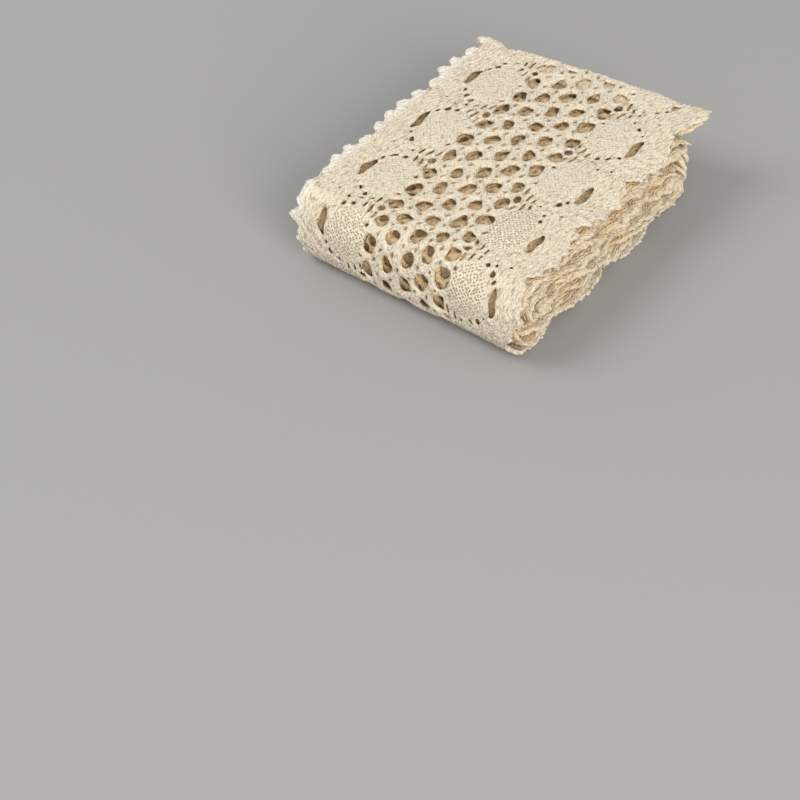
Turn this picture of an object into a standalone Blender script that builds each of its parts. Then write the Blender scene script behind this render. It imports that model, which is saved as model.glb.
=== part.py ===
"""A strip of cotton lace trim wound flat on itself, eleven layers high.

The strip is laid out flat first, with its scalloped picot edges, its leaf
shaped slits and the holes of its net. It is then given its thickness and
wound along a flat spiral. X runs across the lace, Y from the smooth nose of
the roll to its loose end, and Z up. The flat layout is in millimetres.
"""

import math

import bmesh
import bpy
from mathutils.geometry import delaunay_2d_cdt

MM = 0.001

# The lace, flat
REPEAT = 21.25
STEPS_PER_REPEAT = 24
STEP = REPEAT / STEPS_PER_REPEAT
HALF_REPEAT = STEPS_PER_REPEAT // 2
TIP_HALF_WIDTH = 32.0
LOW_TIP_HALF_WIDTH = 31.4
CREST_HALF_WIDTH = 30.5
VALLEY_HALF_WIDTH = 28.5
DIP_AFTER_TIP = 0.3
VALLEY_SHOULDER = 0.4
CLOTH = 1.2

# Leaf shaped slit beside each medallion
SLIT_CENTRE = 23.4
SLIT_HALF_WIDTH = 1.4
SLIT_BOW = 0.5
SLIT_TIP_STEPS = 4.5
SLIT_WAIST_STEPS = 2

# Net of the middle, five columns, staggered
NET_COLUMN = 5.08
NET_HOLE_HALF_WIDTH = 1.8
APEX_HOLE_HALF_WIDTH = 2.2
NET_HOLE_END_HALF_WIDTH = 0.9
NET_HOLE_HALF_STEPS = 2.5
NET_ROW_STEPS = 8

# The winding
LAYERS = 11
PITCH = 2.05
FRONT_TURN_Y = -30.3
BACK_TURN_Y = 29.6
TURN_REACH = 0.9
TURN_SQUARENESS = 2.6
TURN_SEGMENTS = 48
LOOSE_END_Y = 39.6
PATH_SPARE = 6.0
END_SLOPE = 0.135
END_CURVE = 0.0017
MID_HEIGHT = (LAYERS - 1) / 2 * PITCH + CLOTH / 2
THICKNESS = 2 * MID_HEIGHT
ROLL_CENTRE_X = -0.284
ROLL_CENTRE_Y = 1.522
NORMAL_REACH = 0.3

# How uneven the roll lies
RIGHT_DROOP = 1.5
LEFT_DROOP = -0.2
DROOP_START = 19.0
DROOP_POWER = 1.3
NOSE_SKEW = 0.028
TOP_WAVE = 0.45
SWING = 0.35
TOP_WAVE_ALONG = 47.0
TOP_WAVE_ACROSS = 93.0
TOP_WAVE_PHASE_ALONG = 0.8
TOP_WAVE_PHASE_ACROSS = 0.5
SLOW_DRIFT = 0.6
SLOW_DRIFT_LENGTH = 173.0
SLOW_DRIFT_PHASE = 0.6
QUICK_DRIFT = 0.36
QUICK_DRIFT_LENGTH = 71.0
QUICK_DRIFT_PHASE = 2.1
DRIFT_FADE = 20.0
FLUTTER = 0.2
FLUTTER_LENGTH = 13.7
FLUTTER_FROM_HEIGHT = 0.1
FLUTTER_FULL_HEIGHT = 0.43

# The nose flares on the left, and the loose end's two corners lift
NOSE_FLARE = 1.3
NOSE_LIFT = 0.5
NOSE_FLARE_Y = -18.0
NOSE_FLARE_LENGTH = 16.0
LEFT_CURL = 1.7
LEFT_CURL_BACK = 0.5
LEFT_CURL_START = (31.0, 22.0)
LEFT_CURL_SIZE = (9.0, 9.0)
RIGHT_CORNER_LIFT = 1.6
RIGHT_CORNER_REACH = 2.2
RIGHT_CORNER_START = (30.0, 20.0)
RIGHT_CORNER_SIZE = (12.0, 12.0)

# Where the flat lace is creased and cut
GUIDE_LINE = 18.5
GUIDE_STEPS = 6
HOLE_TO_END = 1.2
JOIN_WITHIN = 1e-5
CUT_PLACES = (30.0, 20.0, 9.0, -3.0, -15.0, -24.0, -30.0)

# Half heights of turns, in pitches: the tightest are creased most closely
TIGHT_TURN = 1.3
ROUND_TURN = 2.8
WIDE_TURN = 4.8


def turn_points(centre_y, centre_z, half_height, side, first_angle):
    """Half a squared ellipse, from one run to the next."""
    points = []
    power = 2 / TURN_SQUARENESS
    sweep = math.copysign(math.pi, -first_angle)
    for i in range(1, TURN_SEGMENTS + 1):
        angle = first_angle + sweep * i / TURN_SEGMENTS
        reach = abs(math.cos(angle)) ** power
        rise = math.copysign(abs(math.sin(angle)) ** power, math.sin(angle))
        y = centre_y + side * TURN_REACH * half_height * reach
        points.append((y, centre_z + half_height * rise))
    return points


def winding():
    """The middle line of the strip in Y and Z, from its hidden end to its loose end."""
    points = [(FRONT_TURN_Y, 0.0)]
    level = 0.0
    for layer in range(LAYERS - 1):
        half_height = (layer + 1) / 2 * PITCH
        if layer % 2 == 0:
            points.append((BACK_TURN_Y, level))
            points += turn_points(BACK_TURN_Y, level - half_height, half_height, 1, math.pi / 2)
            level -= 2 * half_height
        else:
            points.append((FRONT_TURN_Y, level))
            points += turn_points(FRONT_TURN_Y, level + half_height, half_height, -1, -math.pi / 2)
            level += 2 * half_height
    points.append((LOOSE_END_Y + PATH_SPARE, level))
    return points


def lengths_along(points):
    """Length from the first point to each point."""
    total = 0.0
    lengths = [0.0]
    for a, b in zip(points, points[1:]):
        total += math.dist(a, b)
        lengths.append(total)
    return lengths


PATH = winding()
PATH_LENGTHS = lengths_along(PATH)


def length_at_top(y):
    """Length along the strip where the top layer reaches this Y."""
    return PATH_LENGTHS[-1] - (LOOSE_END_Y + PATH_SPARE - y)


def turn_ranges():
    """Start, end and half height of each turn, as lengths along the strip."""
    ranges = []
    index = 1
    for layer in range(LAYERS - 1):
        last = index + TURN_SEGMENTS
        ranges.append((PATH_LENGTHS[index], PATH_LENGTHS[last], (layer + 1) / 2 * PITCH))
        index = last + 1
    return ranges


MEDALLION_ORIGIN = length_at_top(0.0)
TURN_RANGES = turn_ranges()
OUTER_START = TURN_RANGES[-2][1]


def place_on_path(length):
    """Y and Z of the middle line at a length along the strip."""
    length = min(max(length, 0.0), PATH_LENGTHS[-1])
    low = 0
    high = len(PATH) - 1
    while high - low > 1:
        middle = (low + high) // 2
        if PATH_LENGTHS[middle] <= length:
            low = middle
        else:
            high = middle
    (ya, za), (yb, zb) = PATH[low], PATH[high]
    span = PATH_LENGTHS[high] - PATH_LENGTHS[low]
    part = (length - PATH_LENGTHS[low]) / span
    return ya + (yb - ya) * part, za + (zb - za) * part


def normal_on_path(length):
    """Y and Z of the middle line's normal, which points out of the roll."""
    y_before, z_before = place_on_path(length - NORMAL_REACH)
    y_after, z_after = place_on_path(length + NORMAL_REACH)
    along = math.hypot(y_after - y_before, z_after - z_before)
    return -(z_after - z_before) / along, (y_after - y_before) / along


def end_y(x):
    """Where the loose end is cut, a little askew."""
    return LOOSE_END_Y + END_SLOPE * x - END_CURVE * x * x


def half_width_table(fine):
    """Half width of the lace by steps from a medallion's middle, to the next valley."""
    if fine:
        return (
            (0, CREST_HALF_WIDTH),
            (1, CREST_HALF_WIDTH),
            (2, TIP_HALF_WIDTH),
            (4, TIP_HALF_WIDTH),
            (5, CREST_HALF_WIDTH),
            (7, CREST_HALF_WIDTH - DIP_AFTER_TIP),
            (8, LOW_TIP_HALF_WIDTH),
            (10, LOW_TIP_HALF_WIDTH),
            (11, VALLEY_HALF_WIDTH + VALLEY_SHOULDER),
            (12, VALLEY_HALF_WIDTH),
        )
    return (
        (0, CREST_HALF_WIDTH),
        (3, TIP_HALF_WIDTH),
        (6, CREST_HALF_WIDTH - DIP_AFTER_TIP),
        (9, LOW_TIP_HALF_WIDTH),
        (12, VALLEY_HALF_WIDTH),
    )


def half_width(step, fine):
    """Half width of the lace at a step counted from a medallion's middle."""
    phase = step % STEPS_PER_REPEAT
    phase = min(phase, STEPS_PER_REPEAT - phase)
    table = half_width_table(fine)
    for (a, width_a), (b, width_b) in zip(table, table[1:]):
        if a <= phase <= b:
            return width_a + (width_b - width_a) * (phase - a) / (b - a)
    return VALLEY_HALF_WIDTH


def is_outline_step(step, fine):
    """Whether the outline has a corner at this step."""
    phase = step % STEPS_PER_REPEAT
    phase = min(phase, STEPS_PER_REPEAT - phase)
    return any(phase == a for a, width in half_width_table(fine))


def step_at(length):
    """Steps from the medallion in the middle of the top to a length along the strip."""
    return (length - MEDALLION_ORIGIN) / STEP


def length_of(step):
    return MEDALLION_ORIGIN + step * STEP


FIRST_STEP = math.ceil(step_at(PATH_LENGTHS[0]))
OUTER_FIRST_STEP = HALF_REPEAT * round(step_at(OUTER_START) / HALF_REPEAT)


def is_fine(step):
    """Whether a step is in the outermost turn, which has rounder picots and the net."""
    return step >= OUTER_FIRST_STEP


def bend_steps():
    """Steps where the strip is creased across, close together in tight turns."""
    chosen = set()
    for start, end, half_height in TURN_RANGES:
        if half_height < TIGHT_TURN * PITCH:
            every = 1
        elif ROUND_TURN * PITCH < half_height < WIDE_TURN * PITCH:
            every = 3
        else:
            every = 2
        first = math.floor(step_at(start))
        last = math.ceil(step_at(end))
        chosen.update(step for step in range(first, last + 1) if step % every == 0)
    return sorted(step for step in chosen if step > FIRST_STEP)


def last_step(side):
    """Last outline step before the loose end on this side of the lace."""
    return math.floor(step_at(length_at_top(end_y(side * CREST_HALF_WIDTH)))) - 1


def slit(step, side):
    """Leaf shaped slit, bowed around its medallion."""
    centre = side * SLIT_CENTRE
    tip = centre - side * SLIT_BOW
    outer = centre + side * SLIT_HALF_WIDTH
    inner = centre - side * SLIT_HALF_WIDTH
    corners = [
        (-SLIT_TIP_STEPS, tip),
        (-SLIT_WAIST_STEPS, outer),
        (SLIT_WAIST_STEPS, outer),
        (SLIT_TIP_STEPS, tip),
        (SLIT_WAIST_STEPS, inner),
        (-SLIT_WAIST_STEPS, inner),
    ]
    return [(step + ahead, across) for ahead, across in corners]


def net_hole(step, column):
    """Six sided hole of the net, wider where it touches a medallion."""
    middle = column * NET_COLUMN
    at_apex = abs(column) == 2 and step % STEPS_PER_REPEAT == 0
    wide = APEX_HOLE_HALF_WIDTH if at_apex else NET_HOLE_HALF_WIDTH
    corners = [
        (-NET_HOLE_HALF_STEPS, -NET_HOLE_END_HALF_WIDTH),
        (-NET_HOLE_HALF_STEPS, NET_HOLE_END_HALF_WIDTH),
        (0, wide),
        (NET_HOLE_HALF_STEPS, NET_HOLE_END_HALF_WIDTH),
        (NET_HOLE_HALF_STEPS, -NET_HOLE_END_HALF_WIDTH),
        (0, -wide),
    ]
    return [(step + ahead, middle + across) for ahead, across in corners]


def is_clear_of_ends(corners):
    """Whether a hole leaves cloth before both ends of the strip."""
    for step, across in corners:
        length = length_of(step)
        if length > length_at_top(end_y(across)) - HOLE_TO_END:
            return False
        if length < length_of(FIRST_STEP) + HOLE_TO_END:
            return False
    return True


def holes():
    """Slits all along the strip, and the net's holes in its outermost turn."""
    found = []
    final = last_step(1)
    for step in range(FIRST_STEP, final + 1):
        if step % STEPS_PER_REPEAT == 0:
            found += [slit(step, side) for side in (-1, 1)]
        if step < OUTER_FIRST_STEP:
            continue
        if step % NET_ROW_STEPS == 0:
            found += [net_hole(step, column) for column in (-2, 0, 2)]
        elif step % NET_ROW_STEPS == NET_ROW_STEPS // 2:
            found += [net_hole(step, column) for column in (-1, 1)]
    return [corners for corners in found if is_clear_of_ends(corners)]


def is_inside(corners, step, across):
    """Whether a point lies in a convex polygon."""
    signs = set()
    for (sa, va), (sb, vb) in zip(corners, corners[1:] + corners[:1]):
        signs.add((sb - sa) * (across - va) - (vb - va) * (step - sa) > 0)
    return len(signs) == 1


def edge_points(side, bends):
    """The picot edge on one side, from the hidden end to the loose end."""
    steps = set(bends)
    steps.update(s for s in range(FIRST_STEP, last_step(side) + 1) if is_outline_step(s, is_fine(s)))
    steps.add(FIRST_STEP)
    kept = sorted(s for s in steps if s <= last_step(side))
    return [(s, side * half_width(s, is_fine(s))) for s in kept]


def cut_points():
    """The loose end's cut, from the right edge to the left one."""
    return [(step_at(length_at_top(end_y(across))), across) for across in CUT_PLACES]


def flat_layout():
    """Corners and triangles of the flat lace, in steps along and millimetres across."""
    bends = bend_steps()
    right = edge_points(1, bends)
    left = edge_points(-1, bends)
    outline = right + cut_points() + left[::-1]
    points = list(outline)
    edges = [(i, (i + 1) % len(outline)) for i in range(len(outline))]
    cuts = holes()
    for corners in cuts:
        first = len(points)
        points += corners
        edges += [(first + i, first + (i + 1) % len(corners)) for i in range(len(corners))]
    at = {point: i for i, point in enumerate(points)}
    for step in bends:
        ends = [(step, side * half_width(step, is_fine(step))) for side in (1, -1)]
        if all(end in at for end in ends):
            edges.append((at[ends[0]], at[ends[1]]))
    guides = set(bends)
    guides.update(s for s in range(FIRST_STEP + 3, last_step(-1)) if s % GUIDE_STEPS == 0)
    points += [(step, side * GUIDE_LINE) for step in sorted(guides) for side in (-1, 1)]
    flat = [(step * STEP, across) for step, across in points]
    found = delaunay_2d_cdt(flat, edges, [], 0, JOIN_WITHIN)
    corners_out = [(point[0] / STEP, point[1]) for point in found[0]]
    end_line = [right[-1]] + cut_points() + [left[-1]]
    triangles = [face for face in found[2] if is_cloth(face, corners_out, cuts, end_line)]
    return corners_out, triangles


def is_cloth(face, points, cuts, end_line):
    """Whether a triangle is cloth: inside the outline and in no hole."""
    step = sum(points[i][0] for i in face) / 3
    across = sum(points[i][1] for i in face) / 3
    if abs(across) > half_width_between(step) or step < FIRST_STEP:
        return False
    if is_past_cut(step, across, end_line):
        return False
    near = [c for c in cuts if abs(c[0][0] - step) < HALF_REPEAT and abs(c[0][1] - across) < HALF_REPEAT]
    return not any(is_inside(corners, step, across) for corners in near)


def half_width_between(step):
    """Half width at any place, also where the outline changes from plain to fine."""
    below = math.floor(step)
    if step <= below:
        return half_width(step, is_fine(below))
    above = below + 1
    low = half_width(below, is_fine(below))
    high = half_width(above, is_fine(below))
    return low + (high - low) * (step - below)


def is_past_cut(step, across, end_line):
    """Whether a place lies beyond the loose end's cut, which runs from right to left."""
    for (step_a, across_a), (step_b, across_b) in zip(end_line, end_line[1:]):
        if across_b <= across <= across_a:
            part = (across_a - across) / (across_a - across_b)
            return step > step_a + (step_b - step_a) * part
    return step > end_line[0 if across > 0 else -1][0]


def smooth(value):
    """Rise from 0 to 1 with level ends."""
    value = min(max(value, 0.0), 1.0)
    return value * value * (3 - 2 * value)


def drift(length):
    """Sideways wander of the strip from turn to turn, which fades out on the top layer."""
    slow = SLOW_DRIFT * math.sin(2 * math.pi * length / SLOW_DRIFT_LENGTH + SLOW_DRIFT_PHASE)
    quick = QUICK_DRIFT * math.sin(2 * math.pi * length / QUICK_DRIFT_LENGTH + QUICK_DRIFT_PHASE)
    fade = smooth((MEDALLION_ORIGIN + DRIFT_FADE - length) / (2 * DRIFT_FADE))
    return (slow + quick) * fade


def edge_share(across):
    """0 in the middle of the lace and 1 at its edges."""
    reach = (abs(across) - DROOP_START) / (TIP_HALF_WIDTH - DROOP_START)
    return smooth(reach)


def settle(x, y, z):
    """Lean, sag, droop and flare of the whole roll, nothing at the surface it lies on."""
    height = min(max(z / THICKNESS, 0.0), 1.0)
    edge = edge_share(x)
    front = smooth((BACK_TURN_Y - y) / (BACK_TURN_Y - FRONT_TURN_Y))
    y += NOSE_SKEW * x * front
    along = math.sin(2 * math.pi * y / TOP_WAVE_ALONG + TOP_WAVE_PHASE_ALONG)
    across = math.cos(2 * math.pi * x / TOP_WAVE_ACROSS + TOP_WAVE_PHASE_ACROSS)
    z += TOP_WAVE * along * across * height
    droop = RIGHT_DROOP if x > 0 else LEFT_DROOP
    swing = 1 + SWING * math.cos(2 * math.pi * y / REPEAT)
    z -= droop * swing * edge * height ** DROOP_POWER
    if x < 0:
        flare = smooth((NOSE_FLARE_Y - y) / NOSE_FLARE_LENGTH) * edge * height
        x -= NOSE_FLARE * flare
        z += NOSE_LIFT * flare
    return x, y, z


def corner_share(length, across, start, size):
    """0 before a corner of the loose end and 1 at its tip."""
    along = smooth((length - MEDALLION_ORIGIN - start[0]) / size[0])
    return along * smooth((across - start[1]) / size[1])


def lift_corners(length, across, y, z):
    """The loose end's left corner curls up a little and its right one stands out."""
    left = corner_share(length, -across, LEFT_CURL_START, LEFT_CURL_SIZE)
    right = corner_share(length, across, RIGHT_CORNER_START, RIGHT_CORNER_SIZE)
    y += RIGHT_CORNER_REACH * right - LEFT_CURL_BACK * left
    return y, z + RIGHT_CORNER_LIFT * right + LEFT_CURL * left


def wound(length, across, offset):
    """Place of a point of the lace in the roll, in metres."""
    y, z = place_on_path(length)
    normal_y, normal_z = normal_on_path(length)
    height = (z + MID_HEIGHT) / THICKNESS
    flutter = FLUTTER * math.sin(2 * math.pi * length / FLUTTER_LENGTH)
    rise = smooth((height - FLUTTER_FROM_HEIGHT) / (FLUTTER_FULL_HEIGHT - FLUTTER_FROM_HEIGHT))
    shift = offset + flutter * edge_share(across) * rise
    x = across + drift(length)
    y, z = y + normal_y * shift, z + normal_z * shift + MID_HEIGHT
    x, y, z = settle(x, y, z)
    y, z = lift_corners(length, across, y, z)
    return (x - ROLL_CENTRE_X) * MM, (y - ROLL_CENTRE_Y) * MM, z * MM


def lace_mesh():
    """The flat lace given its thickness, then wound."""
    points, triangles = flat_layout()
    used = sorted({i for face in triangles for i in face})
    bm = bmesh.new()
    made = {i: bm.verts.new((points[i][0], points[i][1], -CLOTH / 2)) for i in used}
    for face in triangles:
        bm.faces.new([made[i] for i in face])
    raised = bmesh.ops.extrude_face_region(bm, geom=bm.faces[:])
    for item in raised["geom"]:
        if isinstance(item, bmesh.types.BMVert):
            item.co.z = CLOTH / 2
    for vert in bm.verts:
        step, across, offset = vert.co
        vert.co = wound(length_of(step), across, offset)
    bmesh.ops.triangulate(bm, faces=bm.faces[:])
    bmesh.ops.recalc_face_normals(bm, faces=bm.faces[:])
    mesh = bpy.data.meshes.new("lace_strip")
    bm.to_mesh(mesh)
    bm.free()
    return mesh


def cotton():
    """Matt cream cotton."""
    material = bpy.data.materials.new("cream_cotton")
    material.use_nodes = True
    shader = material.node_tree.nodes["Principled BSDF"]
    shader.inputs["Base Color"].default_value = (0.76, 0.67, 0.52, 1.0)
    shader.inputs["Roughness"].default_value = 0.9
    shader.inputs["Metallic"].default_value = 0.0
    return material


def main():
    for item in list(bpy.data.objects):
        bpy.data.objects.remove(item, do_unlink=True)
    mesh = lace_mesh()
    mesh.materials.append(cotton())
    strip = bpy.data.objects.new("lace_strip", mesh)
    bpy.context.scene.collection.objects.link(strip)


main()
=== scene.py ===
"""Looks of a flat wound roll of cotton lace trim.

The strip follows the same winding as its solid. Its lace is worked out flat,
in millimetres: s runs along the strip from a medallion's middle, and v runs
across it from its middle line.
"""

import math

import bpy
import numpy as np
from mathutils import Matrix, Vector


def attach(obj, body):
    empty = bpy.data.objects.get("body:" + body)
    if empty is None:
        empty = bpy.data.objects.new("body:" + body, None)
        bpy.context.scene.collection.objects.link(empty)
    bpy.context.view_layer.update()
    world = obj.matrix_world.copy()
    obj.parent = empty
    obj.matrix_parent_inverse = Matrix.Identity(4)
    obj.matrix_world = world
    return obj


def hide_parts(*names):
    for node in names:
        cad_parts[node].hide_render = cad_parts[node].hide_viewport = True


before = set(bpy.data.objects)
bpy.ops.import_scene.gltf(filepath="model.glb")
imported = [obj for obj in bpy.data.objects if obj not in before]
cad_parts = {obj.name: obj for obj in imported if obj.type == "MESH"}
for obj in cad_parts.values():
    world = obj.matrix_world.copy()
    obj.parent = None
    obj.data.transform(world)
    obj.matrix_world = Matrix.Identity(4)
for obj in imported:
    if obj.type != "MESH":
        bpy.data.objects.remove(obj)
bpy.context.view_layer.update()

MM = 0.001
TAU = 2 * math.pi

# The lace, flat, with three rows of net holes to each medallion
REPEAT = 21.25
ROW = REPEAT / 3
NET_COLUMN = 5.08
WIDTH = 64.0
MARGIN = 1.2
CLOTH_HALF = 0.48
UV_SCALE = 0.01

# Its waved edges and their picots
CREST_HALF_WIDTH = 30.6
VALLEY_DEPTH = 1.9
RIGHT_VALLEY_DEPTH = 2.7
VALLEY_POWER = 2.2
EDGE_WAVE = 0.14
EDGE_WAVE_LENGTH = 1.9
EDGE_WAVE_DRIFT_LENGTH = 11.3
PICOTS_TO_REPEAT = 4
PICOT_RADIUS = 1.45
RIGHT_PICOT_RADIUS = 0.8
PICOT_WIDTH = 1.25
PICOT_SHIFT_ALONG = 0.4
PICOT_SHIFT_ACROSS = 0.25
INNER_PICOTS = 0.8
NOSE_PICOT_CALM = 0.5
NOSE_PICOT_START = -22.0
NOSE_PICOT_FADE = 8.0

# The leaf shaped slits
SLIT_HALF_LENGTH = 3.9
SLIT_HALF_WIDTH = 0.95
SLIT_ACROSS = 23.5
SLIT_BOW = 0.1
SLIT_POWER = 0.6

# The net's holes, a little larger beside a medallion, and the pits between them, sunk and darkened
# with painted shade
FAR_AWAY = 9.0
NET_HALF_ALONG = 2.22
NET_HALF_ACROSS = 1.58
NET_SHIFT_ALONG = 0.8
NET_SHIFT_ACROSS = 0.7
NET_VARIES_ALONG = 0.6
NET_VARIES_ACROSS = 0.45
NET_THREE_CORNERS = 0.055
NET_FOUR_CORNERS = 0.05
NET_POWER = 2.1
APEX_ALONG = 1.1
APEX_ACROSS = 1.16
APEX_PULL = 0.985
PIT_HALF_ALONG = 0.95
PIT_HALF_ACROSS = 0.5
PIT_SHIFT = 0.5
PIT_LEAST_SIZE = 0.75
PIT_VARIES = 0.5
PIT_LEAN = 0.9
PIT_EDGE = 1.6
PIT_DEPTH = 0.6

# How uneven the flat lace is: size of a wave, turns along and across, phase
NOSE_SHIFT = 1.5
NOSE_SHIFT_START = -26.0
NOSE_SHIFT_LENGTH = 14.0
WARP_ALONG = ((0.20, 0.31, 0.83, 1.0), (0.18, 0.47, -0.9, 0.0))
WARP_ACROSS = ((0.18, 0.71, 0.4, 2.0), (0.14, 1.13, 0.0, 0.5))
ROUGH_EDGE = 0.07
ROUGH_EDGE_WAVES = ((6.9, 1.7), (-2.3, 5.7))

# The medallions, the net and the band along each edge, and their relief
MEDAL_HALF_ALONG = 7.4
MEDAL_HALF_ACROSS = 5.1
MEDAL_ACROSS = 16.6
MEDAL_RIM = 0.16
MEDAL_RIM_START = 0.3
NET_EDGE = 12.0
NET_EDGE_FADE = 2.5
DOME = 0.40
DOME_POWER = 0.6
STRAND = 0.22
STRAND_WIDTH = 1.1
GATHERS = 0.12
GATHER_SPACING = 1.1
WANDER = ((0.9, 5.3, 1.0), (0.7, 3.1, -1.7))
TWIST = 0.06
TWIST_SPACING = 1.7
TWIST_LEAN = 0.6
TWIST_LEAN_SWING = 0.4
TWIST_LEAN_LENGTH = 7.7
PUCKERS = 0.14
PUCKER_LENGTH = 4.7
PUCKER_WIDTH = 6.1
PUCKER_LEANS = (0.8, 0.6)
# Painted shade in the low grooves of the band
GROOVE_GAIN = 9.0
GROOVE_START = 0.8
GROOVE_DARKNESS = 0.28

# How open the weave looks: most on the nose and the near medallions
WEAVE_LEAST = 0.4
WEAVE_GROWTH = 0.6
WEAVE_START_RIGHT = 2.0
WEAVE_START_LEFT = -26.0
WEAVE_GROWTH_LENGTH = 16.0
BAND_WEAVE = 0.25

# The winding, as in the solid
LAYERS = 11
PITCH = 2.05
FRONT_TURN_Y = -30.3
BACK_TURN_Y = 29.6
TURN_REACH = 0.9
TURN_SQUARENESS = 2.6
TURN_SEGMENTS = 48
PATH_PROBE = 0.3
LOOSE_END_Y = 39.6
PATH_SPARE = 6.0
END_SLOPE = 0.135
END_CURVE = 0.0017
SOLID_CLOTH = 1.2
MID_HEIGHT = (LAYERS - 1) / 2 * PITCH + SOLID_CLOTH / 2
THICKNESS = 2 * MID_HEIGHT
ROLL_CENTRE_X = -0.284
ROLL_CENTRE_Y = 1.522
TIP_HALF_WIDTH = 32.0

# How uneven the roll lies
RIGHT_DROOP = 1.5
LEFT_DROOP = -0.2
DROOP_START = 19.0
DROOP_POWER = 1.3
NOSE_SKEW = 0.028
TOP_WAVE = 0.45
SWING = 0.35
TOP_WAVE_ALONG = 47.0
TOP_WAVE_ACROSS = 93.0
TOP_WAVE_PHASE_ALONG = 0.8
TOP_WAVE_PHASE_ACROSS = 0.5
SLOW_DRIFT = 0.6
SLOW_DRIFT_LENGTH = 173.0
SLOW_DRIFT_PHASE = 0.6
QUICK_DRIFT = 0.36
QUICK_DRIFT_LENGTH = 71.0
QUICK_DRIFT_PHASE = 2.1
DRIFT_FADE = 20.0
FLUTTER = 0.2
FLUTTER_LENGTH = 13.7
FLUTTER_FROM = 0.1
FLUTTER_RISE = 0.33
BUNCHING = 0.52
BUNCH_LENGTH = 23.0
BUNCH_HEIGHT = 8.7
BUNCH_WANDER = 1.6
BUNCH_WANDER_LENGTH = 37.0
BUNCH_WANDER_PHASE = 0.7
LEFT_SIDE_PHASE = 2.2
SPREADING = 0.8
SPREAD_HEIGHT = 6.9
SPREAD_LEAN = 0.8
RIPPLE = 0.35
RIPPLE_LENGTH = 5.9
RIPPLE_HEIGHT = 5.1

# The nose flares on the left, and the loose end's two corners lift
NOSE_FLARE = 1.3
NOSE_LIFT = 0.5
NOSE_FLARE_Y = -18.0
NOSE_FLARE_LENGTH = 16.0
LEFT_CURL = 1.7
LEFT_CURL_BACK = 0.5
LEFT_CURL_START = (31.0, 22.0)
LEFT_CURL_SIZE = (9.0, 9.0)
RIGHT_CORNER_LIFT = 1.6
RIGHT_CORNER_REACH = 2.2
RIGHT_CORNER_START = (30.0, 20.0)
RIGHT_CORNER_SIZE = (12.0, 12.0)

# The underside is pressed flat just above the surface it lies on
RESTING_HEIGHT = 0.01

# The loose end is turned under, and whole cloth there
FOLD_RADIUS = 0.62
FLAP_BACK_Y = 33.5
FLAP_LEAST = 1.5
FLAP_FRAYS = ((0.12, 5.1, 1.0), (0.08, 11.3, 0.0))
HEM = 1.9
HEM_INSET = 1.5
LOBE_OUT = 0.9
LOBE_V = 27.5
LOBE_HALF = 2.8
NOTCH_IN = 0.9
NOTCH_V = 22.6
NOTCH_HALF = 1.5

# The cloth's rounded strands and edges
LEAST_EDGE = 0.12
ROUNDING = 0.6
UNDER_RELIEF = 0.3
UNDER_RELIEF_MOST = 0.2
EDGE_SWELL = 0.14
SWELL_START = 26.0
SWELL_WIDTH = 4.0
CLOSE = 1e-6
TINY = 1e-30

# Painted shade on the rims of holes, painted warm shade on cloth deep between the layers and on the
# flap, less of it at the layers' edges, and painted light on the picots on the left
RIM_DARKNESS = 0.08
PALE_START = 27.5
PALE_WIDTH = 2.5
EDGE_LIGHT = 0.75
EDGE_LIGHT_START = 27.5
EDGE_LIGHT_WIDTH = 3.5
FLAP_SHADE = 0.45
FLAP_SHADE_START = 1.2
FLAP_SHADE_RISE = 1.2
NO_FADE = 1e6

# Steps of the pieces' grids, finest on the outermost turn, and how much painted warm shade the
# deeper pieces get
FINEST_STEP = 0.295
BACK_STEP = 0.34
SECOND_STEP = 0.4
PLAIN_STEP = 0.5
EDGE_STEP = 0.45
MIDDLE_STEP = 1.5
MIDDLE_HALF = 20.0
INNER_SECTIONS = 15
TOP_END_ACROSS = 33.0
TOP_END_SPARE = 9.0
DEEP_SHADE = 0.8
INNER_SHADE = 0.55
FAR_FADE = 15.0


def winding():
    """The middle line of the strip in Y and Z, and where its runs and turns start."""
    points = [(FRONT_TURN_Y, 0.0)]
    starts = [0]
    level = 0.0
    power = 2 / TURN_SQUARENESS
    for layer in range(LAYERS - 1):
        half_height = (layer + 1) / 2 * PITCH
        forward = layer % 2 == 0
        side = 1 if forward else -1
        turn_y = BACK_TURN_Y if forward else FRONT_TURN_Y
        points.append((turn_y, level))
        starts.append(len(points) - 1)
        for i in range(1, TURN_SEGMENTS + 1):
            angle = side * (math.pi / 2 - math.pi * i / TURN_SEGMENTS)
            rise = math.copysign(abs(math.sin(angle)) ** power, math.sin(angle))
            y = turn_y + side * TURN_REACH * half_height * abs(math.cos(angle)) ** power
            points.append((y, level + half_height * (rise - side)))
        level -= 2 * half_height * side
        starts.append(len(points) - 1)
    points.append((LOOSE_END_Y + PATH_SPARE, level))
    return np.array(points), starts


PATH, PATH_STARTS = winding()
PATH_LENGTHS = np.concatenate([[0.0], np.cumsum(np.hypot(*np.diff(PATH, axis=0).T))])
TOP_ORIGIN = PATH_LENGTHS[-1] - (LOOSE_END_Y + PATH_SPARE)
SECTION_STARTS = [PATH_LENGTHS[i] - TOP_ORIGIN for i in PATH_STARTS]


def smooth(value):
    """Rise from 0 to 1 with level ends."""
    value = np.clip(value, 0.0, 1.0)
    return value * value * (3 - 2 * value)


def on_path(length):
    """Y and Z of the middle line at lengths along the strip."""
    return np.interp(length, PATH_LENGTHS, PATH[:, 0]), np.interp(length, PATH_LENGTHS, PATH[:, 1])


def fold_line(v):
    """Where the loose end turns under, with a rounded lobe at its left corner."""
    lobe = LOBE_OUT * np.exp(-(((v + LOBE_V) / LOBE_HALF) ** 2))
    notch = NOTCH_IN * np.exp(-(((v + NOTCH_V) / NOTCH_HALF) ** 2))
    return LOOSE_END_Y + END_SLOPE * v - END_CURVE * v * v + lobe - notch


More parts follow.
